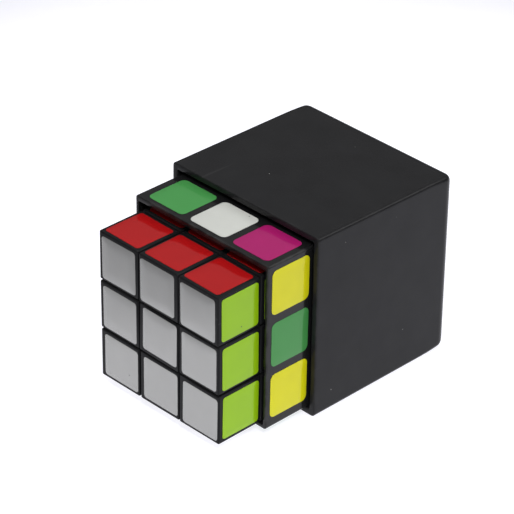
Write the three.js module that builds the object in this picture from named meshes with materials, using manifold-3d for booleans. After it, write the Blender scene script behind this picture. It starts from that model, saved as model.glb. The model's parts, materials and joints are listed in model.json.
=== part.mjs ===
// A nested puzzle box, lying on its side and drawn open in two steps: an outer cover, a shell
// that slides out of it, and a working three-layer twisty cube that slides out of the shell.
//
// Units are millimetres and +Z is up. The slide axis is Y, and everything is drawn out towards
// -Y, the front. The origin is under the middle of the whole open box, on the table.

import * as THREE from 'three';
import { mergeVertices } from 'three/addons/utils/BufferGeometryUtils.js';
import Module from 'manifold-3d';

const wasm = await Module();
wasm.setup();

// ---------------------------------------------------------------- driving dimensions

const CUBE_SIDE = 57; // the twisty cube, across
const SHELL_WALL = 1.4;
const COVER_WALL = 2.3;

const CUBE_TO_SHELL_FLOOR = 0.3; // running gap under the cube
const CUBE_TO_SHELL_HEADROOM = 2.9; // gap over the cube
const CUBE_TO_SHELL_SIDE = 1.6; // gap at each side of the cube
const CUBE_TO_SHELL_END = 2.4; // gap behind the cube when it is pushed right in

const SHELL_TO_COVER_FLOOR = 0.5;
const SHELL_TO_COVER_HEADROOM = 1.1;
const SHELL_TO_COVER_SIDE = 0.8;
const SHELL_TO_COVER_END = 2.2;

const COVER_BACK_FILLET = 4.0; // rounding around the cover's closed end
const SHELL_BACK_FILLET = 1.2; // rounding around the shell's closed end
const FILLET_STEPS = 4;

const LAYER_TO_SHELL_MOUTH = 0.3; // the drawn-out front layer clears the shell's mouth by this
const SHELL_BEYOND_ONE_ROW = 0.7; // the shell stands out of the cover by one row and this

// The cube's mechanism, from the outside in. Feet lie in two nested shells around the core.
const GAP = 0.4; // between two cube pieces that slide on each other
const SOLID_OVER_FEET = 7.5; // from the cube's face down to the feet's outer sphere
const WIDE_FOOT_DEPTH = 5; // thickness of the outer shell of feet
const SLIM_FOOT_DEPTH = 4; // thickness of the inner shell of feet
const WIDE_FOOT_REACH = 3.5; // how far a foot in the outer shell reaches under a neighbour
const SLIM_FOOT_REACH = 2; // how far a foot in the inner shell reaches under one of those
const CUBIE_WALL = 1.8; // wall of the hollow corner and edge blocks
const CORE_PIN_HALF = 1; // half the width of the square moulding hole into a block's hollow
const SPHERE_STEPS = 24;

const CAP_THICKNESS = 1.5;
const CAP_PLUG_DEPTH = 1.6;
const CAP_PLUG_WALL = 1.4;
const CAP_FIT = 0.3; // around the plug and under the cap
const POCKET_FLOOR = 1.5; // floor of a centre's pocket over the feet's outer sphere

const SCREW_RADIUS = 1.25;
const SCREW_HEAD_RADIUS = 2.9;
const SCREW_HEAD_THICKNESS = 1.8;
const SCREW_TIP = 4.2; // distance of a screw's tip from the cube's centre
const SCREW_FIT = 0.3; // around a screw, and between it and what it bears on
const SLOT_WIDTH = 0.8;
const SLOT_DEPTH = 0.7;
const WASHER_THICKNESS = 0.6;
const BORE_FIT = 0.45; // around a screw head, in the bore that holds the spring and washer too
const LEDGE_THICKNESS = 0.8; // of the ledge under a spring, over the slim foot
const SPRING_WIRE_RADIUS = 0.3;
const SPRING_TURNS = 3;
const SPRING_STEPS_PER_TURN = 8;
const ROUND_STEPS = 12;

// ---------------------------------------------------------------- sizes that follow

const PITCH = CUBE_SIDE / 3;
const CUBE_HALF = CUBE_SIDE / 2;
const CUT_PLANE = PITCH / 2;

const SHELL_INNER_WIDTH = CUBE_SIDE + 2 * CUBE_TO_SHELL_SIDE;
const SHELL_INNER_HEIGHT = CUBE_SIDE + CUBE_TO_SHELL_FLOOR + CUBE_TO_SHELL_HEADROOM;
const SHELL_WIDTH = SHELL_INNER_WIDTH + 2 * SHELL_WALL;
const SHELL_HEIGHT = SHELL_INNER_HEIGHT + 2 * SHELL_WALL;
const SHELL_LENGTH = CUBE_SIDE + CUBE_TO_SHELL_END + SHELL_WALL;

const COVER_INNER_WIDTH = SHELL_WIDTH + 2 * SHELL_TO_COVER_SIDE;
const COVER_INNER_HEIGHT = SHELL_HEIGHT + SHELL_TO_COVER_FLOOR + SHELL_TO_COVER_HEADROOM;
const COVER_WIDTH = COVER_INNER_WIDTH + 2 * COVER_WALL;
const COVER_HEIGHT = COVER_INNER_HEIGHT + 2 * COVER_WALL;
const COVER_LENGTH = SHELL_LENGTH + SHELL_TO_COVER_END + COVER_WALL;

const CUBE_DRAW = PITCH - GAP / 2 + LAYER_TO_SHELL_MOUTH;
const SHELL_DRAW = PITCH + SHELL_BEYOND_ONE_ROW;

const WHOLE_LENGTH = CUBE_DRAW + SHELL_DRAW + COVER_LENGTH;
const FRONT_Y = -WHOLE_LENGTH / 2;
const SHELL_MOUTH_Y = FRONT_Y + CUBE_DRAW;
const COVER_MOUTH_Y = SHELL_MOUTH_Y + SHELL_DRAW;
const CUBE_CENTRE_Y = FRONT_Y + CUBE_HALF;

const SHELL_BOTTOM_Z = COVER_WALL + SHELL_TO_COVER_FLOOR;
const CUBE_BOTTOM_Z = SHELL_BOTTOM_Z + SHELL_WALL + CUBE_TO_SHELL_FLOOR;
const CUBE_CENTRE_Z = CUBE_BOTTOM_Z + CUBE_HALF;

const WIDE_FOOT_PLANE = CUT_PLANE - WIDE_FOOT_REACH;
const SLIM_FOOT_PLANE = WIDE_FOOT_PLANE - SLIM_FOOT_REACH;
const FEET_RADIUS = CUBE_HALF - SOLID_OVER_FEET;
const SLIM_FEET_RADIUS = FEET_RADIUS - WIDE_FOOT_DEPTH;
const CORE_RADIUS = SLIM_FEET_RADIUS - SLIM_FOOT_DEPTH;

const POCKET_FLOOR_AT = FEET_RADIUS + POCKET_FLOOR;
const CAP_UNDERSIDE = CUBE_HALF - CAP_THICKNESS;
const CENTRE_TOP = CAP_UNDERSIDE - CAP_FIT;
const POCKET_HALF = CUT_PLANE - GAP / 2 - CUBIE_WALL;
const LEDGE_AT = SLIM_FEET_RADIUS + LEDGE_THICKNESS;
const SCREW_HEAD_AT = FEET_RADIUS + SCREW_FIT;
const WASHER_AT = SCREW_HEAD_AT - SCREW_FIT - WASHER_THICKNESS;
const BORE_RADIUS = SCREW_HEAD_RADIUS + BORE_FIT;
const SPRING_LOW = LEDGE_AT + SCREW_FIT;
const SPRING_HIGH = WASHER_AT - SCREW_FIT;

// ---------------------------------------------------------------- materials

const material = (color, roughness, metalness = 0) =>
  new THREE.MeshStandardMaterial({ color, roughness, metalness });

const finishes = {
  cover: () => material(0x2c2c2e, 0.45),
  shell: () => material(0x28292a, 0.42),
  cubie: () => material(0x232424, 0.4),
  cap: () => material(0x232424, 0.4),
  core: () => material(0x3a3a3c, 0.55),
  steel: () => material(0xa9abae, 0.35, 1),
};

// ---------------------------------------------------------------- solids

// Turns a closed three.js geometry into a solid that can be joined and cut.
function solid(geometry) {
  const bare = geometry.clone();
  bare.deleteAttribute('normal');
  bare.deleteAttribute('uv');
  const merged = mergeVertices(bare, 1e-4);
  return new wasm.Manifold(new wasm.Mesh({
    numProp: 3,
    vertProperties: new Float32Array(merged.attributes.position.array),
    triVerts: new Uint32Array(merged.index.array),
  }));
}

// Turns a solid back into a geometry.
function geometryOf(shape) {
  const mesh = shape.getMesh();
  const geometry = new THREE.BufferGeometry();
  geometry.setAttribute('position', new THREE.BufferAttribute(mesh.vertProperties, 3));
  geometry.setIndex(new THREE.BufferAttribute(mesh.triVerts, 1));
  geometry.computeVertexNormals();
  return geometry;
}

// A box between two bounds on each axis.
function box([x0, x1], [y0, y1], [z0, z1]) {
  const geometry = new THREE.BoxGeometry(x1 - x0, y1 - y0, z1 - z0);
  geometry.translate((x0 + x1) / 2, (y0 + y1) / 2, (z0 + z1) / 2);
  return solid(geometry);
}

const ball = (radius) => solid(new THREE.SphereGeometry(radius, SPHERE_STEPS, SPHERE_STEPS / 2));

// Turns a geometry made along +Z so that it points along a direction.
function pointing(geometry, direction) {
  const turn = new THREE.Quaternion().setFromUnitVectors(
    new THREE.Vector3(0, 0, 1),
    direction.clone().normalize(),
  );
  return geometry.applyQuaternion(turn);
}

// A round rod along a direction, between two distances from the cube's centre.
function rod(radius, from, to, direction) {
  const geometry = new THREE.CylinderGeometry(radius, radius, to - from, ROUND_STEPS);
  geometry.rotateX(Math.PI / 2);
  geometry.translate(0, 0, (from + to) / 2);
  return solid(pointing(geometry, direction));
}

// A square bar along a direction, between two distances from the cube's centre.
function bar(half, from, to, direction) {
  const geometry = new THREE.BoxGeometry(2 * half, 2 * half, to - from);
  geometry.translate(0, 0, (from + to) / 2);
  return solid(pointing(geometry, direction));
}

// ---------------------------------------------------------------- the two open boxes

// A box open at the front, standing on z = 0 with its mouth at y = 0. Its closed end is
// rounded all round by the fillet, and its hollow keeps one wall thickness everywhere.
function openBox(width, height, length, wall, fillet) {
  const outline = new THREE.Shape();
  const halfWidth = width / 2 - fillet;
  const halfHeight = height / 2 - fillet;
  outline.moveTo(-halfWidth, -halfHeight);
  outline.lineTo(halfWidth, -halfHeight);
  outline.lineTo(halfWidth, halfHeight);
  outline.lineTo(-halfWidth, halfHeight);
  const blank = new THREE.ExtrudeGeometry(outline, {
    depth: length,
    bevelEnabled: true,
    bevelThickness: fillet,
    bevelSize: fillet,
    bevelSegments: FILLET_STEPS,
  });
  blank.rotateX(-Math.PI / 2);
  blank.translate(0, -fillet, height / 2);
  const beyond = 2 * length;
  const inFront = box([-width, width], [-beyond, 0], [-height, 2 * height]);
  const hollow = box(
    [-width / 2 + wall, width / 2 - wall],
    [-beyond, length - wall],
    [wall, height - wall],
  );
  return solid(blank).subtract(inFront).subtract(hollow);
}

// ---------------------------------------------------------------- the twisty cube's pieces

// The part of space that belongs to one place in a layered stack: a slab between the cut
// planes for 0, or everything beyond one of them, up to the limit, for -1 and +1.
function layerSpan(place, plane, limit) {
  if (place === 0) {
    return [-(plane - GAP / 2), plane - GAP / 2];
  }
  const near = place * (plane + GAP / 2);
  const far = place * limit;
  return [Math.min(near, far), Math.max(near, far)];
}

const cell = (places, plane, limit) => box(...places.map((p) => layerSpan(p, plane, limit)));

// One cubie before its hollow is cut. The outer block stands on the feet's sphere, a wide
// foot reaches under the neighbouring blocks, and edges and centres have a slim foot below it
// that reaches under the wide ones. Necks join the three.
function cubieBlank(places, top) {
  const block = cell(places, CUT_PLANE, top);
  const wide = cell(places, WIDE_FOOT_PLANE, top);
  const feetOut = ball(FEET_RADIUS - GAP / 2);
  const feetIn = ball(SLIM_FEET_RADIUS + GAP / 2);
  let piece = block.subtract(ball(FEET_RADIUS + GAP / 2));
  piece = piece.add(wide.intersect(feetOut).subtract(feetIn));
  piece = piece.add(block.intersect(wide).subtract(feetIn));
  const isCorner = places.every((place) => place !== 0);
  if (isCorner) {
    return piece;
  }
  const slim = cell(places, SLIM_FOOT_PLANE, top);
  const slimOut = ball(SLIM_FEET_RADIUS - GAP / 2);
  const slimIn = ball(CORE_RADIUS + GAP / 2);
  piece = piece.add(slim.intersect(slimOut).subtract(slimIn));
  return piece.add(wide.intersect(slim).intersect(feetOut).subtract(slimIn));
}

// A hollow block with its feet, for a corner or an edge. The hollow stays clear of the feet
// and opens inwards through a moulding hole.
function hollowCubie(places) {
  const hollowSpan = places.map((place) => {
    const [low, high] = layerSpan(place, CUT_PLANE, CUBE_HALF);
    return [low + CUBIE_WALL, high - CUBIE_WALL];
  });
  const hollow = box(...hollowSpan).subtract(ball(FEET_RADIUS + GAP / 2 + CUBIE_WALL));
  const outwards = new THREE.Vector3(...places);
  const hole = bar(CORE_PIN_HALF, CORE_RADIUS / 2, FEET_RADIUS + WIDE_FOOT_DEPTH, outwards);
  return cubieBlank(places, CUBE_HALF).subtract(hollow).subtract(hole);
}

// A centre has a pocket under its cap, a bore for its spring, washer and screw head, and a
// clear hole for the screw.
function centrePiece(places) {
  const outwards = new THREE.Vector3(...places);
  return cubieBlank(places, CENTRE_TOP)
    .subtract(bar(POCKET_HALF, POCKET_FLOOR_AT, CUBE_HALF, outwards))
    .subtract(rod(BORE_RADIUS, LEDGE_AT, CUBE_HALF, outwards))
    .subtract(rod(SCREW_RADIUS + SCREW_FIT, CORE_RADIUS / 2, CUBE_HALF, outwards));
}

// The tile that closes a centre: a flat top and a square plug ring that sits in the pocket.
function capPiece(places) {
  const outwards = new THREE.Vector3(...places);
  const plugHalf = POCKET_HALF - CAP_FIT;
  const plugLow = CAP_UNDERSIDE - CAP_PLUG_DEPTH;
  return bar(CUT_PLANE - GAP / 2, CAP_UNDERSIDE, CUBE_HALF, outwards)
    .add(bar(plugHalf, plugLow, CUBE_HALF, outwards))
    .subtract(bar(plugHalf - CAP_PLUG_WALL, plugLow - 1, CAP_UNDERSIDE, outwards));
}

// The ball in the middle that all six screws are driven into.
function corePiece(directions) {
  let core = ball(CORE_RADIUS - GAP / 2);
  for (const direction of directions) {
    const hole = rod(SCREW_RADIUS + SCREW_FIT, SCREW_TIP - SCREW_FIT, CORE_RADIUS + 1, direction);
    core = core.subtract(hole);
  }
  return core;
}

function screwPiece(direction) {
  const headTop = SCREW_HEAD_AT + SCREW_HEAD_THICKNESS;
  const slot = new THREE.BoxGeometry(SLOT_WIDTH, 4 * SCREW_HEAD_RADIUS, 2 * SLOT_DEPTH);
  slot.translate(0, 0, headTop);
  return rod(SCREW_RADIUS, SCREW_TIP, headTop, direction)
    .add(rod(SCREW_HEAD_RADIUS, SCREW_HEAD_AT, headTop, direction))
    .subtract(solid(pointing(slot, direction)));
}

function washerPiece(direction) {
  return rod(SCREW_HEAD_RADIUS, WASHER_AT, WASHER_AT + WASHER_THICKNESS, direction)
    .subtract(rod(SCREW_RADIUS + SCREW_FIT, 0, CUBE_HALF, direction));
}

// The centre line of a coil spring around the +Z axis.
class CoilCurve extends THREE.Curve {
  getPoint(t, target = new THREE.Vector3()) {
    const angle = 2 * Math.PI * SPRING_TURNS * t;
    const radius = SCREW_HEAD_RADIUS - SPRING_WIRE_RADIUS;
    const low = SPRING_LOW + SPRING_WIRE_RADIUS;
    const high = SPRING_HIGH - SPRING_WIRE_RADIUS;
    return target.set(radius * Math.cos(angle), radius * Math.sin(angle), low + (high - low) * t);
  }
}

function springPiece(direction) {
  const wire = new THREE.Shape();
  wire.absarc(0, 0, SPRING_WIRE_RADIUS, 0, 2 * Math.PI);
  const coil = new THREE.ExtrudeGeometry(wire, {
    extrudePath: new CoilCurve(),
    steps: SPRING_TURNS * SPRING_STEPS_PER_TURN,
    curveSegments: 3,
    bevelEnabled: false,
  });
  return solid(pointing(coil, direction));
}

// ---------------------------------------------------------------- the assembly

const puzzleBox = new THREE.Group();

function place(parent, name, shape, finish) {
  const mesh = new THREE.Mesh(geometryOf(shape), finish());
  mesh.name = name;
  parent.add(mesh);
  return mesh;
}

const coverShape = openBox(
  COVER_WIDTH,
  COVER_HEIGHT,
  COVER_LENGTH,
  COVER_WALL,
  COVER_BACK_FILLET,
);
const cover = place(puzzleBox, 'cover', coverShape, finishes.cover);
cover.position.set(0, COVER_MOUTH_Y, 0);

const shellShape = openBox(
  SHELL_WIDTH,
  SHELL_HEIGHT,
  SHELL_LENGTH,
  SHELL_WALL,
  SHELL_BACK_FILLET,
);
const shell = place(puzzleBox, 'shell', shellShape, finishes.shell);
shell.position.set(0, SHELL_MOUTH_Y, SHELL_BOTTOM_Z);

const cube = new THREE.Group();
cube.position.set(0, CUBE_CENTRE_Y, CUBE_CENTRE_Z);
puzzleBox.add(cube);

const WORDS = {
  x: { '-1': 'left', 1: 'right' },
  y: { '-1': 'front', 1: 'rear' },
  z: { '-1': 'bottom', 1: 'top' },
};

// A cubie is named by the faces it shows, such as front_top_right.
function faceWords([x, y, z]) {
  return [WORDS.y[y], WORDS.z[z], WORDS.x[x]].filter(Boolean).join('_');
}

// The places of all the cubies that show a given number of faces: 1 for the centres, 2 for
// the edges, 3 for the corners.
const STEPS = [-1, 0, 1];
function placesShowing(faces) {
  return STEPS
    .flatMap((x) => STEPS.flatMap((y) => STEPS.map((z) => [x, y, z])))
    .filter((places) => places.filter((step) => step !== 0).length === faces);
}

for (const places of placesShowing(3)) {
  place(cube, `${faceWords(places)}_corner`, hollowCubie(places), finishes.cubie);
}

for (const places of placesShowing(2)) {
  place(cube, `${faceWords(places)}_edge`, hollowCubie(places), finishes.cubie);
}

const screwDirections = [];
for (const places of placesShowing(1)) {
  const words = faceWords(places);
  const direction = new THREE.Vector3(...places);
  screwDirections.push(direction);
  place(cube, `${words}_centre`, centrePiece(places), finishes.cubie);
  place(cube, `${words}_cap`, capPiece(places), finishes.cap);
  place(cube, `${words}_screw`, screwPiece(direction), finishes.steel);
  place(cube, `${words}_washer`, washerPiece(direction), finishes.steel);
  place(cube, `${words}_spring`, springPiece(direction), finishes.steel);
}
place(cube, 'core', corePiece(screwDirections), finishes.core);

export default puzzleBox;
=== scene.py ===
# %% [markdown]
# # A nested puzzle box, drawn open
#
# Three black plastic boxes sit one inside the other: a plain cover, a shell that wears the
# coloured squares of a scrambled twisty cube, and a real twisty cube. The box lies on its side
# and is drawn out in two steps. The solids, their sizes and how they slide come from the packed
# frame. This script adds what the eye sees: rounded mouldings, vinyl squares, gloss and dust.

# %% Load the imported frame
import json
import math

import bmesh
import bpy
import numpy as np
from mathutils import Matrix, Quaternion, Vector


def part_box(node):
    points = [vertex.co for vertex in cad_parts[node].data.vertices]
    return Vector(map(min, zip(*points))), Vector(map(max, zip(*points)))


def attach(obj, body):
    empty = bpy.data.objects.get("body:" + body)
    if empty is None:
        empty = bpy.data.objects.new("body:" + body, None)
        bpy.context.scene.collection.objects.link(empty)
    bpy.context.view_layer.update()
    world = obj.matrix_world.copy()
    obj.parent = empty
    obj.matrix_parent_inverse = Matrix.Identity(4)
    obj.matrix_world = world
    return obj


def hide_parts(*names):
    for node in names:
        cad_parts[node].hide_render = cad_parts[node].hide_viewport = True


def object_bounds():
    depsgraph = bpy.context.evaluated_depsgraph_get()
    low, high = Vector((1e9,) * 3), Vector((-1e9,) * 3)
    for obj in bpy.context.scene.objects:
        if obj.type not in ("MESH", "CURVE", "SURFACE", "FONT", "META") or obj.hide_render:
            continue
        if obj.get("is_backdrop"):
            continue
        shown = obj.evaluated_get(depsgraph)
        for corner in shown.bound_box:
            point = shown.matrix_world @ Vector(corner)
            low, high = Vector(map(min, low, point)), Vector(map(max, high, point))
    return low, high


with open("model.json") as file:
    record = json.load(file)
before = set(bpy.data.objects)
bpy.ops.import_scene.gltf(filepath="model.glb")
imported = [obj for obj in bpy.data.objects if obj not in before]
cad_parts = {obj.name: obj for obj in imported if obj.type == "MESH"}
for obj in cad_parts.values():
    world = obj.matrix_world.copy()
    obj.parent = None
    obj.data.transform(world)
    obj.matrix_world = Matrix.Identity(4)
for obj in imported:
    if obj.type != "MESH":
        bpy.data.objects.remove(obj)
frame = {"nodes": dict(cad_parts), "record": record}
cad_low, cad_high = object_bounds()

# %% [markdown]
# ## Sizes read from the frame
#
# Every place is worked out from the boxes of the solids, so a change of size there carries
# through. The cube's centre and side follow from two corner pieces that lie opposite each other.
# The open boxes lie along Y, with their mouths at the low end.

# %% Sizes and places
MM = 0.001


def middle_and_size(*nodes):
    """The centre and the size of the box around some nodes."""
    corners = np.array([[list(c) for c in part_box(node)] for node in nodes])
    low, high = corners[:, 0].min(axis=0), corners[:, 1].max(axis=0)
    return (low + high) / 2, high - low


cube_centre, cube_size = middle_and_size("front_top_left_corner", "rear_bottom_right_corner")
shell_centre, shell_size = middle_and_size("shell")
cover_centre, cover_size = middle_and_size("cover")
CUBE_SIDE = cube_size[0]
PITCH = CUBE_SIDE / 3
print("cube", cube_size.round(4), "shell", shell_size.round(4), "cover", cover_size.round(4))

# %% [markdown]
# ## Camera
#
# The view is from the front right, about a third of the way up to overhead, through a very long
# lens: the lengthwise edges hardly converge. A camera is easiest to describe as a point on a
# sphere around the thing it looks at, so azimuth, elevation and distance give its place.

# %% Camera
AZIMUTH, ELEVATION, ROLL = 45.28, 31.83, 0.86
DISTANCE = 0.98754
AIM = Vector(cube_centre) + Vector((-5.37, 21.97, 7.36)) * MM
LENS, SENSOR = 204.2, 36.0


def away_from(azimuth, elevation):
    """The unit vector from the object to a viewer: azimuth 0 is in front, 90 at the right."""
    a, e = math.radians(azimuth), math.radians(elevation)
    return Vector((math.sin(a) * math.cos(e), -math.cos(a) * math.cos(e), math.sin(e)))


camera = bpy.data.objects.new("camera", bpy.data.cameras.new("camera"))
bpy.context.scene.collection.objects.link(camera)
bpy.context.scene.camera = camera
camera.data.lens, camera.data.sensor_width = LENS, SENSOR
camera.data.clip_start, camera.data.clip_end = 0.05, 20
back = away_from(AZIMUTH, ELEVATION)
camera.location = AIM + back * DISTANCE
camera.rotation_mode = "QUATERNION"
level = (-back).to_track_quat("-Z", "Y")
camera.rotation_quaternion = level @ Quaternion((0, 0, 1), math.radians(ROLL))
print("camera at", [round(v, 3) for v in camera.location])

# %% [markdown]
# ## Meshes from grids
#
# Nearly every new surface here is a stack of closed outlines: ring after ring of the same number
# of points, joined by quads. Two fans close the first and the last ring, so nothing is open.
# The outline is a square with round corners, and a stack of them makes an open box just as a
# lathe makes a cup: only the outline is square instead of round.

# %% Stacked outlines to a closed mesh
CORNER_POINTS = 16
SIDE_POINTS = 9
HUG = 0.012


def eased_steps(count):
    """Steps from 0 to 1 without the ends: close together near both, with one hugging each.

    The inner ones are t = (1 - cos(pi s)) / 2 for even steps s. The hugging ones sit right next
    to an arc's end, so that smooth shading turns in the arc and the flat part stays flat.
    """
    inner = (1 - np.cos(np.pi * np.linspace(0, 1, count + 2)[1:-1])) / 2
    return np.concatenate([[HUG], inner[inner > 2 * HUG][:-1], [1 - HUG]])


def rounded_square(half, radius, arc_points=CORNER_POINTS, side_points=SIDE_POINTS, power=2.0):
    """Points around a square with round corners, as an array (points, 2).

    Corner k has its arc's centre at (half - radius) times (+-1, +-1), and the arc runs through
    the quarter turn that starts at k * 90 degrees. The straight sides get points of their own.
    The arc is |x|^power + |y|^power = radius^power: 2 gives a circle, and a higher power gives a
    tight corner whose curve starts gently, far back on the sides.
    """
    points = []
    for k in range(4):
        turn = np.radians(90 * k + np.linspace(0, 90, arc_points))
        sign = np.array([math.cos(math.radians(90 * k + 45)), math.sin(math.radians(90 * k + 45))])
        centre = np.sign(sign) * (half - radius)
        wheel = np.stack([np.cos(turn), np.sin(turn)], axis=1).round(12)
        arc = centre + radius * np.sign(wheel) * np.abs(wheel) ** (2 / power)
        following = np.sign([-sign[1], sign[0]]) * (half - radius)
        end_turn = math.radians(90 * (k + 1))
        start = arc[-1]
        finish = following + radius * np.array([math.cos(end_turn), math.sin(end_turn)])
        points += [arc, start + eased_steps(side_points)[:, None] * (finish - start)]
    return np.concatenate(points)


def mesh_from_rings(name, rings):
    """A closed mesh from rings (ring, point, 3): quads between rings and a fan at each end.

    The rings run so that, seen from outside, going along a ring and then to the next one turns
    anticlockwise, which points every face outwards.
    """
    count, around, _ = rings.shape
    poles = np.stack([rings[0].mean(axis=0), rings[-1].mean(axis=0)])
    vertices = np.concatenate([rings.reshape(-1, 3), poles])
    j = np.arange(around)
    following = (j + 1) % around
    row = np.arange(count - 1)[:, None] * around
    quads = np.stack([row + j, row + following, row + around + following, row + around + j], -1)
    first, last = count * around, count * around + 1
    top = (count - 1) * around
    start_fan = np.stack([np.full(around, first), following, j], -1)
    end_fan = np.stack([np.full(around, last), top + j, top + following], -1)
    faces = quads.reshape(-1, 4).tolist() + start_fan.tolist() + end_fan.tolist()
    mesh = bpy.data.meshes.new(name)
    mesh.from_pydata(vertices.tolist(), [], faces)
    mesh.polygons.foreach_set("use_smooth", np.ones(len(faces), dtype=bool))
    mesh.update()
    return mesh


def add_piece(name, mesh, material):
    """An object at the origin for a mesh whose place is in its vertices."""
    piece = bpy.data.objects.new(name, mesh)
    bpy.context.scene.collection.objects.link(piece)
    mesh.materials.clear()
    mesh.materials.append(material)
    return piece


print("an outline has", len(rounded_square(1, 0.1)), "points")

# %% [markdown]
# ## Shader groups
#
# Three effects are shared by several finishes, so each is a node group with named inputs:
#
# * **moulded skin**: the faint cloudiness and fine spark-eroded grain of moulded plastic, with a
#   few specks of dust and hairline scratches;
# * **film skin**: the slow waviness of a pressed-on vinyl square, with fine pores and, here and
#   there, a tiny dark speck;
# * **edge rub and highlight**: a mask that rises to 1 on the long edges and the lip, which are
#   painted lighter: partly wear from hands and tables, partly a painted highlight.
#
# They read Object coordinates in metres, so a scale of 1000 makes features about 1 mm across.

# %% Small helpers for node trees
def add_node(tree, kind, **settings):
    """Adds a node and sets its inputs by name; any other name is a property of the node."""
    node = tree.nodes.new(kind)
    for key, value in settings.items():
        if key in node.inputs:
            node.inputs[key].default_value = value
        else:
            setattr(node, key, value)
    return node


def math_node(tree, operation, first, second):
    """A Math node whose two inputs are sockets or numbers."""
    node = add_node(tree, "ShaderNodeMath", operation=operation)
    for socket, value in zip(node.inputs, (first, second)):
        if isinstance(value, bpy.types.NodeSocket):
            tree.links.new(value, socket)
        else:
            socket.default_value = value
    return node.outputs[0]


def ramp(tree, value, low, high):
    """A smooth mask: 0 where the value is below low and 1 where it is above high."""
    node = add_node(tree, "ShaderNodeMapRange", interpolation_type="SMOOTHSTEP")
    tree.links.new(value, node.inputs["Value"])
    node.inputs["From Min"].default_value = low
    node.inputs["From Max"].default_value = high
    return node.outputs["Result"]


def mix_colours(tree, mask, first, second, blend="MIX"):
    """A colour mix whose inputs are sockets or values."""
    node = add_node(tree, "ShaderNodeMix", data_type="RGBA", blend_type=blend)
    for socket, value in zip((node.inputs[0], node.inputs[6], node.inputs[7]), (mask, first, second)):
        if isinstance(value, bpy.types.NodeSocket):
            tree.links.new(value, socket)
        else:
            socket.default_value = value
    return node.outputs[2]


def new_group(name, inputs, outputs):
    """An empty shader group. Inputs and outputs map a name to a kind and a starting value."""
    tree = bpy.data.node_groups.new(name, "ShaderNodeTree")
    kinds = {"colour": "NodeSocketColor", "number": "NodeSocketFloat"}
    for socket, (kind, start) in inputs.items():
        made = tree.interface.new_socket(socket, in_out="INPUT", socket_type=kinds[kind])
        made.default_value = start
    for socket, kind in outputs.items():
        tree.interface.new_socket(socket, in_out="OUTPUT", socket_type=kinds[kind])
    return tree, tree.nodes.new("NodeGroupInput").outputs, tree.nodes.new("NodeGroupOutput").inputs


def noise(tree, place, scale, detail=2.0, roughness=0.5):
    """A noise value from 0 to 1 at a place."""
    node = add_node(tree, "ShaderNodeTexNoise", Scale=scale, Detail=detail, Roughness=roughness)
    tree.links.new(place, node.inputs["Vector"])
    return node.outputs["Fac"]


def rare_specks(tree, place, scale, size, rarity):
    """A mask of small round specks, one in some cells of a cell pattern.

    speck = 1 - ramp of the distance to the cell's middle, times a ramp of the cell's random
    value: none below the rarity, and full from 0.95.
    """
    cells = add_node(tree, "ShaderNodeTexVoronoi", Scale=scale, Randomness=1.0)
    tree.links.new(place, cells.inputs["Vector"])
    spot = math_node(tree, "SUBTRACT", 1.0, ramp(tree, cells.outputs["Distance"], size * 0.4, size))
    split = tree.nodes.new("ShaderNodeSeparateColor")
    tree.links.new(cells.outputs["Color"], split.inputs[0])
    return math_node(tree, "MULTIPLY", spot, ramp(tree, split.outputs[0], rarity, 0.95))


# %% Moulded skin
# the lighter black of the edges: partly rubbed wear, partly a painted highlight
RUB_AND_HIGHLIGHT_BLACK = (0.09, 0.09, 0.085, 1)
SCRATCHED_BLACK = (0.06, 0.06, 0.06, 1)
DUST_COLOUR = (0.32, 0.31, 0.30, 1)
HAIR_TURN, HAIR_STRETCH = (0.3, 0.5, 0.6), (900, 14, 900)


def make_moulded_skin():
    """Cloudy black plastic: colour, roughness and height, with dust and hairline scratches.

    roughness = the given one + 0.10 (cloud - 0.5) + 0.5 dust, and height = 0.35 grain - scratches.
    A scratch is the crest of a noise that is stretched lengthwise, kept only in some patches.
    """
    tree, given, put = new_group(
        "moulded skin",
        {
            "Base": ("colour", (0.01, 0.01, 0.01, 1)),
            "Roughness": ("number", 0.25),
            "Dust": ("number", 0.5),
            "Scratches": ("number", 0.5),
        },
        {"Colour": "colour", "Roughness": "number", "Height": "number"},
    )
    place = tree.nodes.new("ShaderNodeTexCoord").outputs["Object"]
    cloud = noise(tree, place, 90.0, detail=3.0)
    grain = noise(tree, place, 3200.0, detail=1.0)

    specks = rare_specks(tree, place, 170.0, 0.045, 0.60)
    dust = math_node(tree, "MULTIPLY", specks, given["Dust"])

    stretch = add_node(tree, "ShaderNodeMapping")
    stretch.inputs["Rotation"].default_value = HAIR_TURN
    stretch.inputs["Scale"].default_value = HAIR_STRETCH
    tree.links.new(place, stretch.inputs["Vector"])
    hairs = ramp(tree, noise(tree, stretch.outputs[0], 1.0, detail=0.0), 0.80, 0.86)
    patches = ramp(tree, noise(tree, place, 45.0), 0.5, 0.62)
    marks = math_node(tree, "MULTIPLY", math_node(tree, "MULTIPLY", hairs, patches),
                      given["Scratches"])

    lighter = mix_colours(tree, cloud, (0.75, 0.75, 0.75, 1), (1.3, 1.3, 1.3, 1))
    clouded = mix_colours(tree, 1.0, given["Base"], lighter, "MULTIPLY")
    scuffed = mix_colours(tree, marks, clouded, SCRATCHED_BLACK)
    dusted = mix_colours(tree, dust, scuffed, DUST_COLOUR)
    tree.links.new(dusted, put["Colour"])

    rougher = math_node(tree, "MULTIPLY", math_node(tree, "SUBTRACT", cloud, 0.5), 0.10)
    rough = math_node(tree, "ADD", given["Roughness"], rougher)
    rough = math_node(tree, "ADD", rough, math_node(tree, "MULTIPLY", dust, 0.5))
    tree.links.new(rough, put["Roughness"])
    height = math_node(tree, "SUBTRACT", math_node(tree, "MULTIPLY", grain, 0.35), marks)
    tree.links.new(height, put["Height"])
    return tree


moulded_skin = make_moulded_skin()


# %% Film skin
SPECK_COLOUR = (0.03, 0.03, 0.03, 1)


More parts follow.
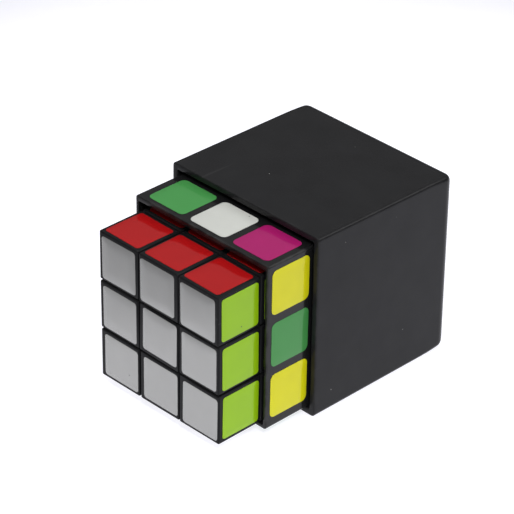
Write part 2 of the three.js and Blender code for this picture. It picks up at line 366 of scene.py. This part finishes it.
def make_film_skin():
    """Pressed-on vinyl: slow waves from the glue, fine pores, and a few tiny dark specks.

    colour = the given one times (0.93 + 0.06 pores + 0.08 wave), roughness = the given one +
    0.06 pores, and height = wave times the given waves + 0.04 pores.
    """
    tree, given, put = new_group(
        "film skin",
        {
            "Base": ("colour", (0.5, 0.5, 0.5, 1)),
            "Roughness": ("number", 0.1),
            "Waves": ("number", 1.0),
        },
        {"Colour": "colour", "Roughness": "number", "Height": "number"},
    )
    place = tree.nodes.new("ShaderNodeTexCoord").outputs["Object"]
    wave = noise(tree, place, 150.0, detail=1.0)
    pores = noise(tree, place, 2600.0, detail=2.0, roughness=0.7)
    tint = math_node(tree, "ADD", math_node(tree, "MULTIPLY", pores, 0.06),
                     math_node(tree, "MULTIPLY", wave, 0.08))
    tint = math_node(tree, "ADD", tint, 0.93)
    shade = add_node(tree, "ShaderNodeCombineColor")
    for socket in shade.inputs:
        tree.links.new(tint, socket)
    uneven = mix_colours(tree, 1.0, given["Base"], shade.outputs[0], "MULTIPLY")
    specks = math_node(tree, "MULTIPLY", rare_specks(tree, place, 210.0, 0.07, 0.92),
                       given["Waves"])
    tree.links.new(mix_colours(tree, specks, uneven, SPECK_COLOUR), put["Colour"])
    rough = math_node(tree, "ADD", given["Roughness"], math_node(tree, "MULTIPLY", pores, 0.06))
    tree.links.new(rough, put["Roughness"])
    swell = math_node(tree, "MULTIPLY", wave, given["Waves"])
    tree.links.new(math_node(tree, "ADD", swell, math_node(tree, "MULTIPLY", pores, 0.04)),
                   put["Height"])
    return tree


film_skin = make_film_skin()


# %% Edge rub and painted highlight
def make_edge_rub_and_highlight():
    """The mesh's own edge attribute, times a broken-up noise, times the given amount. Edges under the
    mask are painted lighter: partly rubbed wear, partly a painted highlight.
    """
    tree, given, put = new_group("edge rub and highlight", {"Amount": ("number", 0.5)}, {"Mask": "number"})
    edge = add_node(tree, "ShaderNodeAttribute", attribute_name="edge").outputs["Fac"]
    place = tree.nodes.new("ShaderNodeTexCoord").outputs["Object"]
    broken = ramp(tree, noise(tree, place, 260.0, detail=3.0), 0.30, 0.70)
    mask = math_node(tree, "MULTIPLY", math_node(tree, "MULTIPLY", edge, broken), given["Amount"])
    tree.links.new(mask, put["Mask"])
    return tree


edge_rub_and_highlight = make_edge_rub_and_highlight()
print("groups", [group.name for group in bpy.data.node_groups])

# %% [markdown]
# ## Materials
#
# The Principled shader itself stays in each material. Black plastic is nearly all reflection:
# its own colour is close to nothing, and what shows is a soft mirror of the floor and the
# studio. The vinyl squares are glossier still, so they mirror the dark rim next to them.

# %% Materials from the groups
def skin_material(name, group, settings, bump, metallic=0.0, specular=0.5, rub_and_highlight=0.0):
    """A Principled material fed by a skin group, with optional lighter edges: partly rubbed wear,
    partly a painted highlight.
    """
    material = bpy.data.materials.new(name)
    material.use_nodes = True
    tree = material.node_tree
    shader = tree.nodes["Principled BSDF"]
    shader.inputs["Metallic"].default_value = metallic
    shader.inputs["Specular IOR Level"].default_value = specular
    skin = tree.nodes.new("ShaderNodeGroup")
    skin.node_tree = group
    for key, value in settings.items():
        skin.inputs[key].default_value = value
    colour = skin.outputs["Colour"]
    # the edges are painted lighter here: partly rubbed wear, partly a painted highlight
    if rub_and_highlight:
        rub_and_highlight_node = tree.nodes.new("ShaderNodeGroup")
        rub_and_highlight_node.node_tree = edge_rub_and_highlight
        rub_and_highlight_node.inputs["Amount"].default_value = rub_and_highlight
        colour = mix_colours(tree, rub_and_highlight_node.outputs["Mask"], colour, RUB_AND_HIGHLIGHT_BLACK)
    tree.links.new(colour, shader.inputs["Base Color"])
    tree.links.new(skin.outputs["Roughness"], shader.inputs["Roughness"])
    relief = add_node(tree, "ShaderNodeBump", Strength=1.0, Distance=bump)
    tree.links.new(skin.outputs["Height"], relief.inputs["Height"])
    tree.links.new(relief.outputs["Normal"], shader.inputs["Normal"])
    return material


PLASTIC_RELIEF = 4e-6
VINYL_RELIEF, SILVER_RELIEF, STEEL_RELIEF = 1.2e-5, 2e-5, 1e-5
VINYL_SPECULAR = 0.24


def black_plastic(name, level, roughness, dust, scratches, rub_and_highlight, specular=0.24):
    """A black moulding: its level of black has a touch of blue, as carbon black has."""
    base = (level, level, level * 1.08, 1)
    settings = {"Base": base, "Roughness": roughness, "Dust": dust, "Scratches": scratches}
    return skin_material(name, moulded_skin, settings, bump=PLASTIC_RELIEF,
                         specular=specular, rub_and_highlight=rub_and_highlight)


# the sixth number is how far the edges are painted lighter, partly as rubbed wear and partly as a
# painted highlight
cover_plastic = black_plastic("cover plastic", 0.0135, 0.20, 0.9, 0.2, 0.10, specular=0.12)
shell_plastic = black_plastic("shell plastic", 0.008, 0.16, 0.6, 0.4, 0.3)
cubie_plastic = black_plastic("cubie plastic", 0.010, 0.20, 0.4, 0.3, 0.0, specular=0.09)
core_nylon = black_plastic("core nylon", 0.03, 0.45, 0.0, 0.0, 0.0)

VINYL_COLOURS = {
    "red": (0.345, 0.006, 0.007),
    "lime": (0.27, 0.49, 0.006),
    "green": (0.053, 0.25, 0.062),
    "magenta": (0.33, 0.010, 0.115),
    "yellow": (0.64, 0.61, 0.006),
    "white": (0.52, 0.53, 0.50),
}


def vinyl(colour):
    """A glossy square of one colour."""
    base = (*VINYL_COLOURS[colour], 1)
    settings = {"Base": base, "Roughness": 0.05, "Waves": 1.0}
    return skin_material(f"{colour} vinyl", film_skin, settings, bump=VINYL_RELIEF,
                         specular=VINYL_SPECULAR)


films = {colour: vinyl(colour) for colour in VINYL_COLOURS}
films["silver"] = skin_material(
    "silver film",
    film_skin,
    {"Base": (0.355, 0.355, 0.34, 1), "Roughness": 0.20, "Waves": 0.5},
    bump=SILVER_RELIEF,
    metallic=0.70,
)
steel = skin_material(
    "zinc plated steel",
    film_skin,
    {"Base": (0.56, 0.56, 0.58, 1), "Roughness": 0.28, "Waves": 0.2},
    bump=STEEL_RELIEF,
    metallic=1.0,
)
print("materials", len(bpy.data.materials))

# %% [markdown]
# ## The two open boxes
#
# The cover and the shell are the same kind of moulding: a square tube closed at one end. Each is
# one stack of outlines that starts in the middle of the closed end, comes round the fillet,
# runs forward along the outside, turns over the rim and goes back down the inside. A cube with
# an extruded face would do for a sketch, but its rim would be knife-sharp and would catch no
# light. Here each turn of the profile is an arc, so the rim and the corners keep a fine bright
# line.
#
# A deep moulding is never quite parallel either. The cover's top wall rises a little towards its
# mouth and sinks a little at the closed end, and the shell's top wall thickens towards its lip.
# The height changes evenly from one end to the other. The cover's long edges follow a
# superellipse, a curve a little fuller than a circle, so that they still read as edges.

# %% Profile of an open box
LIP_STEPS, FILLET_STEPS, WALL_STEPS = 4, 9, 20
END_SHARES = (0.15, 0.5, 0.8)
WIDENING_LENGTH = 9 * MM
# how far the lighter edges reach: partly rubbed wear, partly a painted highlight
RUB_AND_HIGHLIGHT_WIDTH = 0.5 * MM


def arc_profile(centre, radius, start, end, steps):
    """Points of an arc as (half width, y), with the angles in degrees."""
    turn = np.radians(np.linspace(start, end, steps))
    return np.stack([centre[0] + radius * np.cos(turn), centre[1] + radius * np.sin(turn)], 1)


def open_box_profile(half, length, wall, fillet, rim_round):
    """Half width against y, from the outside of the closed end, over the rim, to its inside.

    Also gives how many of the points are on the outside.
    """
    inner = half - wall
    eased = eased_steps(WALL_STEPS)
    closed_end = np.array([[half * share, length] for share in END_SHARES])
    closed_end = np.concatenate([closed_end, [[half - fillet * 1.05, length]]])
    fillet_arc = arc_profile((half - fillet, length - fillet), fillet, 90, 0, FILLET_STEPS)
    outside = np.stack([np.full_like(eased, half),
                        length - fillet - (length - fillet - rim_round) * eased], 1)
    outer_lip = arc_profile((half - rim_round, rim_round), rim_round, 0, -90, LIP_STEPS)
    inner_lip = arc_profile((inner + rim_round, rim_round), rim_round, -90, -180, LIP_STEPS)
    inside = np.stack([np.full_like(eased, inner),
                       rim_round + (length - wall - 2 * rim_round) * eased], 1)
    floor = np.array([[inner, length - wall], [inner * 0.8, length - wall],
                      [inner * 0.15, length - wall]])
    outer = np.concatenate([closed_end, fillet_arc, outside, outer_lip])
    return np.concatenate([outer, inner_lip, inside, floor]), len(outer)


def open_box_mesh(name, centre, size, wall, fillet, corner, back_corner, inner_corner,
                  rim_round, mouth_rise, back_drop=0.0, rise_inside=0.0, power=2.0):
    """The stack of outlines for one open box, with an edge attribute for the places that are painted
    lighter, partly as wear and partly as a painted highlight.

    The lengthwise corners keep one radius and widen to the back corner's radius over the
    widening length, less what the fillet has already taken off. The top wall rises towards the
    mouth, as moulded boxes taper: its height changes in a straight line along y from mouth to
    back. The hollow takes only a share of the rise, so a share of 0 makes the top wall thicker
    instead. edge = exp(-d / rub and highlight width), where d is the distance to the nearest
    lengthwise corner or to the outer lip, whichever is closer, on the outside only. Where it is
    high, the edges are painted lighter: partly rubbed wear, partly a painted highlight.
    """
    half, length = size[0] / 2, size[1]
    profile, outer_count = open_box_profile(half, length, wall, fillet, rim_round)
    rings = []
    for number, (reach, y) in enumerate(profile):
        outer = number < outer_count
        widening = np.clip(1 - (length - fillet - y) / WIDENING_LENGTH, 0, 1) ** 2
        radius = corner + (back_corner - corner) * widening - 0.3 * min(half - reach, fillet)
        radius = radius if outer else inner_corner
        outline = rounded_square(reach, min(max(radius, 0.3 * corner), reach * 0.5),
                                 power=power if outer else 2.0)
        along_y = np.full(len(outline), centre[1] - length / 2 + y)
        rise = mouth_rise - (mouth_rise + back_drop) * y / length
        rise = rise if outer else rise * rise_inside
        height = (outline[:, 1] + half) / (2 * half)
        rings.append(np.stack([centre[0] + outline[:, 0], along_y,
                               centre[2] + outline[:, 1] + rise * height], 1))
    rings = np.array(rings)
    mesh = mesh_from_rings(name, rings)
    x = np.abs(rings[:, :, 0] - centre[0])
    z = np.abs(rings[:, :, 2] - centre[2])
    to_corner = np.maximum(half - np.minimum(x, z), 0)
    to_lip = np.abs(rings[:, :, 1] - (centre[1] - length / 2))
    outside = (np.arange(len(rings)) < outer_count)[:, None]
    # the edge mask: where the edges are painted lighter, partly as wear and partly as a painted
    # highlight
    edge = np.exp(-np.minimum(to_corner, to_lip) / RUB_AND_HIGHLIGHT_WIDTH) * outside
    attribute = mesh.attributes.new("edge", "FLOAT", "POINT")
    attribute.data.foreach_set("value", np.append(edge.ravel(), [0.0, 0.0]).astype(np.float32))
    return mesh


# %% Cover and shell
COVER_WALL, SHELL_WALL = 2.3 * MM, 1.4 * MM
COVER_FILLET, SHELL_FILLET = 4.0 * MM, 1.2 * MM
COVER_RISE, SHELL_RISE = 0.9 * MM, 0.6 * MM
cover = add_piece(
    "cover_moulding",
    open_box_mesh("cover_moulding", cover_centre, cover_size, COVER_WALL, COVER_FILLET,
                  corner=1.7 * MM, back_corner=2.6 * MM, inner_corner=0.6 * MM,
                  rim_round=0.35 * MM, mouth_rise=COVER_RISE, back_drop=0.15 * MM,
                  rise_inside=1.0, power=2.5),
    cover_plastic,
)
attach(cover, "cover")
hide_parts("cover")

shell = add_piece(
    "shell_moulding",
    open_box_mesh("shell_moulding", shell_centre, shell_size, SHELL_WALL, SHELL_FILLET,
                  corner=0.9 * MM, back_corner=1.0 * MM, inner_corner=0.5 * MM,
                  rim_round=0.3 * MM, mouth_rise=SHELL_RISE),
    shell_plastic,
)
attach(shell, "shell")
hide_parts("shell")
print("cover faces", len(cover.data.polygons), "shell faces", len(shell.data.polygons))

# %% [markdown]
# ## The cubies
#
# A corner or an edge piece is a hollow block on a foot that hooks under its neighbours. The
# solids in the frame already have the block, the foot and the spherical cut. What they lack is
# the rounding of a moulded edge. So each one is copied, its loose triangles are merged into flat
# faces, and only the edges around its coloured faces are rounded. Rounding everything would
# also nibble at the feet, where the real moulding is crisp.
#
# A well used cube is never square. Its three levels have slipped sideways over each other like
# a pushed stack of paper, the top one is turned a hair as well, the left column stands off a
# little, and every piece hangs askew on its spring by an amount that stays inside the gap to
# its neighbours.

# %% Rounded copies of the cubies
EDGE_ROUND = 0.6 * MM
ROUND_STEPS = 4
SLACK_TURN = math.radians(0.4)
SLACK_SHIFT = 0.06 * MM
LEVEL_SLIP = 0.15 * MM
LEVEL_TURN = math.radians(0.2)
LEFT_SPREAD = 0.2 * MM
CUBE_SHIFT = Vector((0.05, 0.15, 0.0)) * MM
CENTRE_TURN = math.radians(1.3)
SEAM_ANGLE = math.radians(30)
slack = np.random.default_rng(11)
cube_low = cube_centre - CUBE_SIDE / 2
cube_high = cube_centre + CUBE_SIDE / 2


def shares_cube_face(edge):
    """True for an edge that lies in one of the six outside faces and isn't a flat seam."""
    first, second = (np.array(v.co) for v in edge.verts)
    near = 1e-5
    low = (np.abs(first - cube_low) < near) & (np.abs(second - cube_low) < near)
    high = (np.abs(first - cube_high) < near) & (np.abs(second - cube_high) < near)
    return bool(np.any(low | high)) and edge.calc_face_angle(0) > SEAM_ANGLE


def level_of(node):
    """1, 0 or -1 for a piece of the cube's top, middle or bottom level."""
    low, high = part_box(node)
    return round(((low.z + high.z) / 2 - cube_centre[2]) / PITCH)


def hang_of(node):
    """Where a cubie really hangs, as a matrix: its level's slip and turn, and the cube's shift.

    The bottom level has slipped to the right and the top level to the left, and the left column
    stands off a little. The front centre cap is turned a little more than the rest about its
    own screw.
    """
    level = level_of(node)
    upright = Matrix.Rotation(-level * LEVEL_TURN, 4, "Z")
    if node == "front_cap":
        upright = upright @ Matrix.Rotation(CENTRE_TURN, 4, "Y")
    pivot = Vector(cube_centre)
    spread = LEFT_SPREAD if "left" in node else 0.0
    slip = CUBE_SHIFT + Vector((-level * LEVEL_SLIP - spread, 0, 0))
    return Matrix.Translation(pivot + slip) @ upright @ Matrix.Translation(-pivot)


def rounded_copy(node, name, material):
    """A merged copy of a CAD node with its outside edges rounded, and its hang as a matrix."""
    work = bmesh.new()
    work.from_mesh(frame["nodes"][node].data)
    bmesh.ops.remove_doubles(work, verts=work.verts, dist=1e-7)
    bmesh.ops.dissolve_limit(work, angle_limit=math.radians(0.5), verts=work.verts,
                             edges=work.edges)
    rim = [edge for edge in work.edges if shares_cube_face(edge)]
    bmesh.ops.bevel(work, geom=rim, offset=EDGE_ROUND, segments=ROUND_STEPS, profile=0.5,
                    affect="EDGES", clamp_overlap=False)
    low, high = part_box(node)
    middle = (low + high) / 2
    askew = Quaternion(slack.normal(size=3).tolist(), slack.uniform(-1, 1) * SLACK_TURN)
    offset = Vector((slack.uniform(-1, 1, 3) * SLACK_SHIFT).tolist())
    own = Matrix.Translation(middle + offset) @ askew.to_matrix().to_4x4()
    hang = hang_of(node) @ own @ Matrix.Translation(-middle)
    bmesh.ops.transform(work, matrix=hang, verts=work.verts)
    mesh = bpy.data.meshes.new(name)
    work.to_mesh(mesh)
    work.free()
    mesh.polygons.foreach_set("use_smooth", np.ones(len(mesh.polygons), dtype=bool))
    mesh.set_sharp_from_angle(angle=math.radians(40))
    piece = add_piece(name, mesh, material)
    shading = piece.modifiers.new("even shading", "WEIGHTED_NORMAL")
    shading.keep_sharp = True
    return piece, hang


body_of_node = {
    node: body
    for body, nodes in frame["record"]["behaviour"]["bodies"].items()
    for node in nodes
}
hangs = {}
for node in sorted(frame["nodes"]):
    if not node.endswith(("_corner", "_edge", "_cap")):
        continue
    piece, hangs[node] = rounded_copy(node, f"{node}_moulding", cubie_plastic)
    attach(piece, body_of_node[node])
    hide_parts(node)
print("rounded cubies", len(hangs))

# %% Inner pieces keep their solids
for node, solid in frame["nodes"].items():
    if node.endswith(("_screw", "_washer", "_spring")):
        finish = steel
    elif node == "core":
        finish = core_nylon
    elif node.endswith("_centre"):
        finish = cubie_plastic
    else:
        continue
    solid.data.materials.clear()
    solid.data.materials.append(finish)

# %% [markdown]
# ## The coloured squares
#
# Each square is a piece of vinyl a tenth of a millimetre thick, die-cut with round corners and
# stuck on by hand. As geometry it is a stack of four outlines: the flat top, a soft edge, the
# foot of the edge, and the glue side just under the plastic's surface. One function makes it
# lying flat, and a frame of three directions stands it on any face.

# %% One vinyl square
FILM = 0.12 * MM
CUBE_STICKER, CUBE_STICKER_CORNER = 16.3 * MM, 1.1 * MM
SHELL_STICKER, SHELL_STICKER_CORNER = 16.9 * MM, 2.0 * MM
SHELL_STICKER_PITCH = 20.0 * MM
SHELL_FIRST_ROW = 10.9 * MM
STICKER_ARC_POINTS, STICKER_SIDE_POINTS = 6, 2
LEAN_DEGREES, DRIFT_MM = 0.7, 0.14
hand = np.random.default_rng(5)


def sticker_mesh(name, centre, across, up, side, corner, hang=None):
    """A rounded square of film at a centre, in the plane of two unit directions.

    Ring k has half width side / 2 - inset_k and height h_k over the plastic, from the middle of
    the top, over the soft edge, to the glue side. The hand that sticks it on leaves a small lean
    and drift.
    """
    outward = np.cross(across, up)
    lean = math.radians(hand.uniform(-LEAN_DEGREES, LEAN_DEGREES))
    drift = hand.uniform(-DRIFT_MM, DRIFT_MM, 2) * MM
    turned_across = across * math.cos(lean) + up * math.sin(lean)
    turned_up = up * math.cos(lean) - across * math.sin(lean)
    middle = np.asarray(centre) + across * drift[0] + up * drift[1]
    soft = 0.25 * FILM
    steps = [(side * 0.25, FILM), (soft * 2, FILM), (soft * 0.6, FILM - soft * 0.3),
             (0, FILM - soft), (0, -FILM / 2), (side * 0.25, -FILM / 2)]
    rings = []
    for inset, height in steps:
        half = side / 2 - inset
        outline = rounded_square(half, min(corner, half) * 0.999, STICKER_ARC_POINTS,
                                 STICKER_SIDE_POINTS)
        rings.append(middle + outline[:, :1] * turned_across + outline[:, 1:] * turned_up
                     + outward * height)
    mesh = mesh_from_rings(name, np.array(rings)[:, ::-1])
    if hang:
        mesh.transform(hang)
    return mesh


def place_sticker(name, colour, body, *shape):
    """A square of one colour that rides on a body."""
    piece = add_piece(name, sticker_mesh(name, *shape), films[colour])
    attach(piece, body)
    return piece


print("a square has", len(sticker_mesh("trial", (0, 0, 0), np.array([1.0, 0, 0]),
                                      np.array([0, 1.0, 0]), 1, 0.1).polygons), "faces")

# %% Squares on the cube
FACES = {
    # face: (outward, the way its columns run, the way its rows run, colour)
    "front": ((0, -1, 0), (1, 0, 0), (0, 0, 1), "silver"),
    "rear": ((0, 1, 0), (-1, 0, 0), (0, 0, 1), "yellow"),
    "right": ((1, 0, 0), (0, 1, 0), (0, 0, 1), "lime"),
    "left": ((-1, 0, 0), (0, -1, 0), (0, 0, 1), "magenta"),
    "top": ((0, 0, 1), (1, 0, 0), (0, 1, 0), "red"),
    "bottom": ((0, 0, -1), (-1, 0, 0), (0, 1, 0), "white"),
}


def cubie_at(place):
    """The name of the corner, edge or cap at a place such as (-1, -1, 1)."""
    words = [
        {-1: "front", 1: "rear"}.get(place[1]),
        {-1: "bottom", 1: "top"}.get(place[2]),
        {-1: "left", 1: "right"}.get(place[0]),
    ]
    kind = {1: "cap", 2: "edge", 3: "corner"}[sum(step != 0 for step in place)]
    return "_".join([word for word in words if word] + [kind])


CENTRE_SQUARE_SHIFT = np.array([0.5, 0.0, 0.5]) * MM
RIGHT_SQUARES_SHIFT = np.array([0.0, 0.35, 0.0]) * MM
FRONT_SQUARES_SHIFT = np.array([0.25, 0.0, 0.0]) * MM
FRONT_ROWS_SLIP = 0.35 * MM
cube_stickers = 0
for face, (outward, across, up, colour) in FACES.items():
    outward, across, up = (np.array(v, float) for v in (outward, across, up))
    for column in (-1, 0, 1):
        for row in (-1, 0, 1):
            place = tuple(int(v) for v in outward + across * column + up * row)
            node = cubie_at(place)
            centre = cube_centre + outward * CUBE_SIDE / 2
            centre = centre + (across * column + up * row) * PITCH
            if node == "front_cap":
                centre = centre + CENTRE_SQUARE_SHIFT
            if face == "right":
                centre = centre + RIGHT_SQUARES_SHIFT
            if face == "front":
                centre = centre + FRONT_SQUARES_SHIFT - across * row * FRONT_ROWS_SLIP
            if column < 0 and face in ("front", "top"):
                centre = centre + across * LEFT_SPREAD
            place_sticker(f"{face}_square_{column + 2}{row + 2}", colour, body_of_node[node],
                          centre, across, up, CUBE_STICKER, CUBE_STICKER_CORNER, hangs[node])
            cube_stickers += 1
print("cube squares", cube_stickers)

# %% [markdown]
# The shell's squares imitate a scrambled cube. They run in three rows along its sides, with the
# first row just behind the mouth, and nine more on the closed end. Each face is written as
# three words of three letters: one word for each row, counted from the mouth or from the top.

# %% Squares on the shell
LETTERS = {"g": "green", "w": "white", "m": "magenta", "y": "yellow", "r": "red", "l": "lime"}
SHELL_PATTERNS = {
    "top": "gwm yrg wly",
    "right": "ygy wmr lgm",
    "left": "wrl gym ywg",
    "bottom": "mlg wgy ryw",
    "rear": "rgw ylm gwm",
}
# how far a whole face of squares was stuck off its middle, in millimetres
SHELL_DRIFT = {"top": (0.5, -0.5, 0), "right": (0, -0.5, 0.85), "left": (0, 0.2, -0.3),
               "bottom": (0.4, 0.1, 0)}
shell_mouth = shell_centre[1] - shell_size[1] / 2
for face, pattern in SHELL_PATTERNS.items():
    outward, across, up = (np.array(v, float) for v in FACES[face][:3])
    letters = pattern.replace(" ", "")
    for number, letter in enumerate(letters):
        row, place = divmod(number, 3)
        if face == "rear":
            centre = shell_centre + outward * shell_size[1] / 2
            centre = centre + (across * (place - 1) + up * (1 - row)) * SHELL_STICKER_PITCH
        else:
            sideways = np.array([0.0, 0.0, -1.0]) if abs(outward[0]) else np.array([1.0, 0, 0])
            centre = shell_centre + outward * shell_size[0] / 2
            centre = centre + sideways * (place - 1) * SHELL_STICKER_PITCH
            centre[1] = shell_mouth + SHELL_FIRST_ROW + row * SHELL_STICKER_PITCH
        centre = centre + np.array(SHELL_DRIFT.get(face, (0, 0, 0))) * MM
        if face == "top":
            centre[2] += SHELL_RISE * (1 - (centre[1] - shell_mouth) / shell_size[1])
            up = np.array([0, 1, -SHELL_RISE / shell_size[1]])
            up = up / np.linalg.norm(up)
        place_sticker(f"shell_{face}_square_{row + 1}{place + 1}", LETTERS[letter], "shell",
                      centre, across, up, SHELL_STICKER, SHELL_STICKER_CORNER)
print("shell squares", 9 * len(SHELL_PATTERNS))

# %% [markdown]
# ## Floor and light
#
# The box stands on a plain pale sheet that is lit twice: from above by two softboxes with
# honeycomb grids, and from below by a painted glow, an emission in the sheet's own shader that
# acts like a light table and washes out its shadow. The glow is a painted pool of light: full
# near the box and fading away from it. A grid is the spread of an area light: a small one keeps
# the light going straight, so the pool on the sheet has soft ends and the walls stay dim. That
# is what makes the flat top look darker than the sides: at this angle the top mirrors the grey
# wall, and the sides mirror the lit sheet. Far in front of the box the painted glow fades, and
# the silver squares mirror that as a darker upper row.
#
# The studio is a world of bands: a dark foot of the wall, a grey wall, a slightly lighter
# ceiling and a skylight straight above. One bright patch, like a window high at the back on the
# right, is there for the long rounded edge of the cover, which mirrors it as a fine light line.

# %% Floor with a painted glow
FLOOR_SIZE = 6.0
FLOOR_GAP = 0.02 * MM
# the strength of the painted glow: the sheet gives off light of its own, a painted pool of light that
# washes out the shadow
PAINTED_GLOW = 0.76
# where each ramp of the painted glow starts and ends, in metres
PAINTED_GLOW_FROM_FRONT, PAINTED_GLOW_FROM_SIDE, PAINTED_GLOW_FAR = (-0.185, -0.045), (-0.118, -0.092), (0.22, 0.45)
view_right = Vector((math.cos(math.radians(AZIMUTH)), math.sin(math.radians(AZIMUTH)), 0))


def painted_glow_pool(tree):
    """Painted glow from below, a painted pool of light: full over the lit part of the sheet and gone
    outside it.

    mask = the larger of a ramp that rises from the front to the back and one that rises from the
    viewer's left to the right, times one minus a ramp of the distance from the middle.
    """
    place = tree.nodes.new("ShaderNodeTexCoord").outputs["Object"]
    side = add_node(tree, "ShaderNodeVectorMath", operation="DOT_PRODUCT")
    tree.links.new(place, side.inputs[0])
    side.inputs[1].default_value = tuple(view_right)
    reach = add_node(tree, "ShaderNodeVectorMath", operation="LENGTH")
    tree.links.new(place, reach.inputs[0])
    split = tree.nodes.new("ShaderNodeSeparateXYZ")
    tree.links.new(place, split.inputs[0])
    lit = math_node(tree, "MAXIMUM", ramp(tree, split.outputs["Y"], *PAINTED_GLOW_FROM_FRONT),
                    ramp(tree, side.outputs["Value"], *PAINTED_GLOW_FROM_SIDE))
    near = math_node(tree, "SUBTRACT", 1.0, ramp(tree, reach.outputs["Value"], *PAINTED_GLOW_FAR))
    mask = math_node(tree, "MULTIPLY", lit, near)
    shader = tree.nodes["Principled BSDF"]
    tree.links.new(mix_colours(tree, mask, (0, 0, 0, 1), (PAINTED_GLOW, PAINTED_GLOW, PAINTED_GLOW * 1.05, 1)),
                   shader.inputs["Emission Color"])
    shader.inputs["Emission Strength"].default_value = 1.0


def make_floor():
    """A wide flat sheet of pale grey with a slight cool tint, which the lamps and its own painted
    glow turn white.
    """
    reach = FLOOR_SIZE / 2
    mesh = bpy.data.meshes.new("floor")
    corners = [(-reach, -reach, 0), (reach, -reach, 0), (reach, reach, 0), (-reach, reach, 0)]
    mesh.from_pydata(corners, [], [(0, 1, 2, 3)])
    paper = skin_material("pale floor with painted glow", film_skin,
                          {"Base": (0.40, 0.40, 0.44, 1), "Roughness": 0.8, "Waves": 0.0},
                          bump=1e-6, specular=0.1)
    # the sheet gets its painted glow, a painted pool of light around the box
    painted_glow_pool(paper.node_tree)
    piece = add_piece("floor", mesh, paper)
    piece.location.z = cad_low.z - FLOOR_GAP
    piece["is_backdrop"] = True
    return piece


make_floor()
print("glow", PAINTED_GLOW, "across", FLOOR_SIZE, "m of floor")

# %% Two soft lights with grids
GRID = 7
POOL_MIDDLE = view_right * 0.068


def aimed_box(name, size, azimuth, elevation, distance, aim, grid, power):
    """A soft area light on a sphere around a point. The grid is its spread, in degrees."""
    light = bpy.data.objects.new(name, bpy.data.lights.new(name, "AREA"))
    bpy.context.scene.collection.objects.link(light)
    light.data.shape = "RECTANGLE"
    light.data.size, light.data.size_y = size
    light.data.spread = math.radians(grid)
    light.data.energy = power
    towards = away_from(azimuth, elevation)
    light.location = Vector(aim) + towards * distance
    light.rotation_mode = "QUATERNION"
    light.rotation_quaternion = towards.to_track_quat("Z", "Y")
    return light


overhead_box = aimed_box("overhead softbox", (0.36, 0.8), AZIMUTH, 90, 0.7, POOL_MIDDLE, GRID,
                         power=0.11)
overhead_box.rotation_quaternion = Quaternion((0, 0, 1), math.radians(AZIMUTH))
key_box = aimed_box("key softbox", (0.36, 0.34), 52, 50, 1.2, POOL_MIDDLE, GRID, power=0.175)
print("overhead at", [round(v, 2) for v in overhead_box.location],
      "key at", [round(v, 2) for v in key_box.location])

# %% Studio walls and ceiling
WALL_FOOT = 0.08
# what each band adds, and the elevations in degrees at which it starts and is full
WALL, CEILING, SKYLIGHT = (0.38, 8, 45), (0.15, 42, 54), (1.1, 58, 72)
WINDOW, WINDOW_EDGE, WINDOW_CORE = 3.2, 15, 9
WINDOW_DIRECTION = Vector((0.63, 0.60, 0.50)).normalized()
world = bpy.data.worlds.new("studio")
bpy.context.scene.world = world
world.use_nodes = True
sky = world.node_tree
direction = sky.nodes.new("ShaderNodeTexCoord").outputs["Generated"]
parts = sky.nodes.new("ShaderNodeSeparateXYZ")
sky.links.new(direction, parts.inputs[0])
strength = WALL_FOOT
for more, low, high in (WALL, CEILING, SKYLIGHT):
    band = ramp(sky, parts.outputs["Z"], math.sin(math.radians(low)), math.sin(math.radians(high)))
    strength = math_node(sky, "ADD", strength, math_node(sky, "MULTIPLY", band, more))
towards_window = add_node(sky, "ShaderNodeVectorMath", operation="DOT_PRODUCT")
sky.links.new(direction, towards_window.inputs[0])
towards_window.inputs[1].default_value = WINDOW_DIRECTION
pane = ramp(sky, towards_window.outputs["Value"], math.cos(math.radians(WINDOW_EDGE)),
            math.cos(math.radians(WINDOW_CORE)))
strength = math_node(sky, "ADD", strength, math_node(sky, "MULTIPLY", pane, WINDOW))
sky.links.new(strength, sky.nodes["Background"].inputs["Strength"])
sky.nodes["Background"].inputs["Color"].default_value = (1, 1, 1, 1)
bpy.context.scene.view_settings.view_transform = "Standard"
print("window towards", [round(v, 2) for v in WINDOW_DIRECTION])

# %% Bounds of the drawn pieces
low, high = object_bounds()
